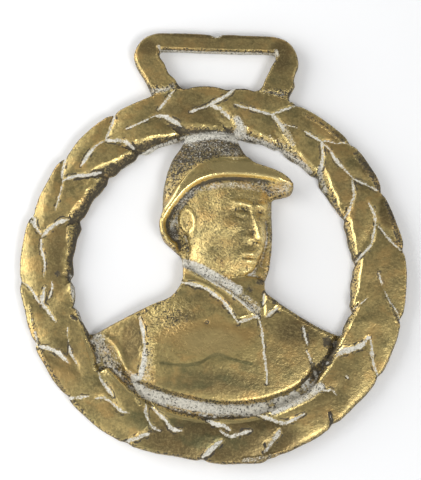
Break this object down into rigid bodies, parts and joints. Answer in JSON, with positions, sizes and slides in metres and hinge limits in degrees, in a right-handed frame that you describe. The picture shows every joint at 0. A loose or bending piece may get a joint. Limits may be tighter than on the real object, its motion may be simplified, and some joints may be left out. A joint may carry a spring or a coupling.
{
  "type": "horse brass",
  "caption": "Cast brass harness badge: a laurel wreath round a relief bust of a jockey in a peaked cap, with a slotted strap hanger on top.",
  "frame": {"origin": "on the flat back, under the middle of the outline's bounding box", "axes": "+X to the right of the face, +Y up towards the strap hanger, +Z out of the face; the piece lies on its back"},
  "size_m": [0.0774, 0.0886, 0.0064],
  "materials": {
    "brass": "worn cast brass: polished olive-gold high places, pale dried polish and dark grime in the hollows, rough cast sides"
  },
  "bodies": {
    "root": {"horse_brass": "brass"}
  },
  "joints": []
}
